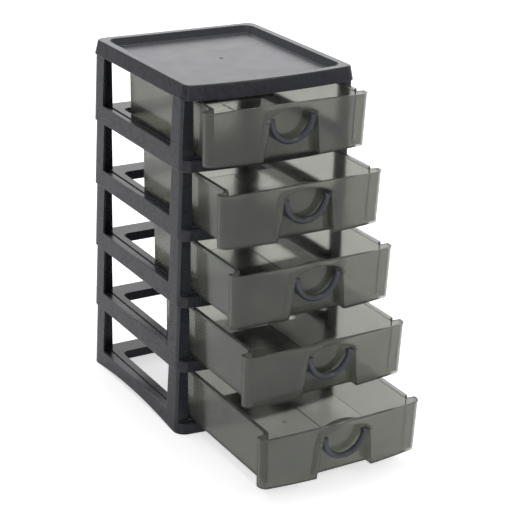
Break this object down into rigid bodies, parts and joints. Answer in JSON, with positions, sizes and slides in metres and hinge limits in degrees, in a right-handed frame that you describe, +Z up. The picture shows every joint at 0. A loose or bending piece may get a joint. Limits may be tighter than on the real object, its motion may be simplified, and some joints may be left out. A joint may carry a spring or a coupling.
{
  "type": "drawer tower",
  "caption": "Desktop storage tower of stacked open plastic tiers with clear pull-out drawers, bail handles and a shallow tray on top.",
  "frame": {"origin": "on the table, in the middle of the underside of the lowest tier's rear wall", "axes": "+Z up, -Y out of the front, the way the drawers pull, +X to the right of someone facing the front"},
  "size_m": [0.1986, 0.3722, 0.374],
  "materials": {
    "tower_plastic": "satin, moulded",
    "drawer_plastic": "smoky translucent",
    "handle_plastic": "smooth"
  },
  "bodies": {
    "tower": {"top_cover": "tower_plastic", "tier_1": "tower_plastic", "tier_2": "tower_plastic", "tier_3": "tower_plastic", "tier_4": "tower_plastic", "tier_5": "tower_plastic"},
    "drawer_body_1": {"drawer_1": "drawer_plastic"},
    "handle_body_1": {"handle_1": "handle_plastic"},
    "drawer_body_2": {"drawer_2": "drawer_plastic"},
    "handle_body_2": {"handle_2": "handle_plastic"},
    "drawer_body_3": {"drawer_3": "drawer_plastic"},
    "handle_body_3": {"handle_3": "handle_plastic"},
    "drawer_body_4": {"drawer_4": "drawer_plastic"},
    "handle_body_4": {"handle_4": "handle_plastic"},
    "drawer_body_5": {"drawer_5": "drawer_plastic"},
    "handle_body_5": {"handle_5": "handle_plastic"}
  },
  "joints": [
    {"name": "drawer_slide_1", "type": "slide", "parent": "tower", "child": "drawer_body_1", "axis": [0, -1, 0], "range_m": [-0.0285, 0.1245]},
    {"name": "handle_hinge_1", "type": "hinge", "parent": "drawer_body_1", "child": "handle_body_1", "pos_m": [0, -0.24415, 0.3404], "axis": [-1, 0, 0], "range_deg": [0, 90]},
    {"name": "drawer_slide_2", "type": "slide", "parent": "tower", "child": "drawer_body_2", "axis": [0, -1, 0], "range_m": [-0.0604, 0.0926]},
    {"name": "handle_hinge_2", "type": "hinge", "parent": "drawer_body_2", "child": "handle_body_2", "pos_m": [0, -0.27605, 0.2685], "axis": [-1, 0, 0], "range_deg": [0, 90]},
    {"name": "drawer_slide_3", "type": "slide", "parent": "tower", "child": "drawer_body_3", "axis": [0, -1, 0], "range_m": [-0.0862, 0.0668]},
    {"name": "handle_hinge_3", "type": "hinge", "parent": "drawer_body_3", "child": "handle_body_3", "pos_m": [0, -0.30185, 0.1966], "axis": [-1, 0, 0], "range_deg": [0, 90]},
    {"name": "drawer_slide_4", "type": "slide", "parent": "tower", "child": "drawer_body_4", "axis": [0, -1, 0], "range_m": [-0.1154, 0.0376]},
    {"name": "handle_hinge_4", "type": "hinge", "parent": "drawer_body_4", "child": "handle_body_4", "pos_m": [0, -0.33105, 0.1247], "axis": [-1, 0, 0], "range_deg": [0, 90]},
    {"name": "drawer_slide_5", "type": "slide", "parent": "tower", "child": "drawer_body_5", "axis": [0, -1, 0], "range_m": [-0.1489, 0.0041]},
    {"name": "handle_hinge_5", "type": "hinge", "parent": "drawer_body_5", "child": "handle_body_5", "pos_m": [0, -0.36455, 0.0528], "axis": [-1, 0, 0], "range_deg": [0, 90]}
  ]
}
